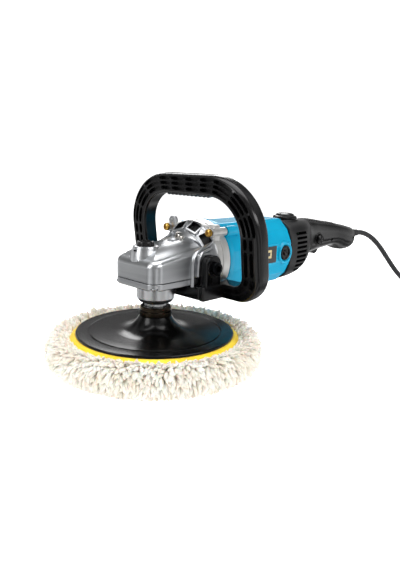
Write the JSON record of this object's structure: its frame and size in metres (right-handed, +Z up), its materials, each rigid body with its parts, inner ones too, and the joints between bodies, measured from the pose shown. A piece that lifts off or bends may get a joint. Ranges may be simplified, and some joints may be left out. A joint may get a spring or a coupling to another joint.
{
  "type": "rotary polisher",
  "caption": "Corded rotary polisher: right-angle gear head, loop front handle, rear grip, backing plate with a wool pad.",
  "frame": {"origin": "centre of the wool pad's polishing face, on the spindle's axis", "axes": "+Z up along the spindle, +X from the gear head to the rear grip, -Y the side with the lock-on button"},
  "size_m": [0.782, 0.3623, 0.2001],
  "materials": {
    "cast_aluminium": "polished die casting",
    "ground_steel": "ground",
    "dark_steel": "black chromed, polished",
    "brass": "bright",
    "copper_winding": "enamelled copper wire and bars",
    "blue_plastic": "glossy moulded nylon",
    "black_plastic": "satin to glossy moulded nylon",
    "black_rubber": "matt",
    "yellow_foam": "smooth skin",
    "white_wool": "deep twisted pile",
    "carbon": "pressed carbon"
  },
  "bodies": {
    "machine": {"spindle_lower_bearing": "ground_steel", "spindle_upper_bearing": "ground_steel", "spindle_seal": "black_rubber", "gear_case_cover": "cast_aluminium", "gear_housing": "cast_aluminium", "intermediate_upper_bearing": "ground_steel", "intermediate_lower_bearing": "ground_steel", "shaft_lock_spring": "ground_steel", "armature_front_bearing": "ground_steel", "armature_rear_bearing": "ground_steel", "field_core": "ground_steel", "fan_baffle": "black_plastic", "motor_housing": "blue_plastic", "brush_holder_right": "brass", "brush_holder_left": "brass", "carbon_brush_right": "carbon", "carbon_brush_left": "carbon", "brush_cap_right": "black_plastic", "brush_cap_left": "black_plastic", "nameplate_right": "black_plastic", "nameplate_left": "black_plastic", "rear_housing": "black_plastic", "speed_control_unit": "black_plastic", "handle_shell_left": "black_plastic", "handle_shell_right": "black_plastic", "trigger_spring": "ground_steel", "switch_body": "black_plastic", "cord_guard": "black_rubber", "power_cord": "black_rubber", "cord_coil": "black_rubber", "mains_plug": "black_plastic", "loop_handle": "black_plastic", "loop_bolt_right": "dark_steel", "loop_bolt_left": "dark_steel", "cover_screw_1": "ground_steel", "flange_screw_1": "brass", "cover_screw_2": "ground_steel", "flange_screw_2": "brass", "cover_screw_3": "ground_steel", "flange_screw_3": "brass", "cover_screw_4": "ground_steel", "flange_screw_4": "brass"},
    "spindle_and_pad": {"spindle": "ground_steel", "spindle_gear": "ground_steel", "plate_insert": "dark_steel", "backing_plate": "black_plastic", "foam_disc": "yellow_foam", "wool_pad": "white_wool"},
    "intermediate": {"intermediate_shaft": "ground_steel", "bevel_ring_gear": "ground_steel"},
    "armature": {"armature_shaft": "ground_steel", "armature_core": "copper_winding", "commutator": "copper_winding", "cooling_fan": "black_plastic"},
    "shaft_lock": {"shaft_lock_button": "black_plastic"},
    "trigger": {"trigger": "black_plastic"},
    "lock_on": {"lock_on_button": "black_plastic"},
    "dial": {"speed_dial": "black_plastic"}
  },
  "joints": [
    {"name": "spindle_spin", "type": "hinge", "parent": "machine", "child": "spindle_and_pad", "pos_m": [0, 0, 0.055], "axis": [0, 0, 1], "continuous": true},
    {"name": "intermediate_spin", "type": "hinge", "parent": "machine", "child": "intermediate", "pos_m": [0.029, 0, 0.1], "axis": [0, 0, 1], "continuous": true},
    {"name": "armature_spin", "type": "hinge", "parent": "machine", "child": "armature", "pos_m": [0.12, 0, 0.105], "axis": [1, 0, 0], "continuous": true},
    {"name": "shaft_lock_press", "type": "slide", "parent": "machine", "child": "shaft_lock", "axis": [0, 0, -1], "range_m": [0, 0.004], "stiffness_N_per_m": 800, "springref_m": -0.003, "deforming": ["shaft_lock_spring"]},
    {"name": "trigger_pull", "type": "hinge", "parent": "machine", "child": "trigger", "pos_m": [0.284, 0, 0.097], "axis": [0, -1, 0], "range_deg": [0, 6], "stiffness_Nm_per_rad": 2, "springref_deg": -5.73, "deforming": ["trigger_spring"]},
    {"name": "lock_on_press", "type": "slide", "parent": "machine", "child": "lock_on", "axis": [0, 1, 0], "range_m": [0, 0.003], "stiffness_N_per_m": 800, "springref_m": -0.002},
    {"name": "dial_turn", "type": "hinge", "parent": "machine", "child": "dial", "pos_m": [0.23, 0, 0.142], "axis": [0, 0, 1], "range_deg": [0, 270]}
  ],
  "couplings": [
    {"joint": "intermediate_spin", "follows": "spindle_spin", "ratio": -3.4615},
    {"joint": "armature_spin", "follows": "spindle_spin", "ratio": 10.385}
  ]
}
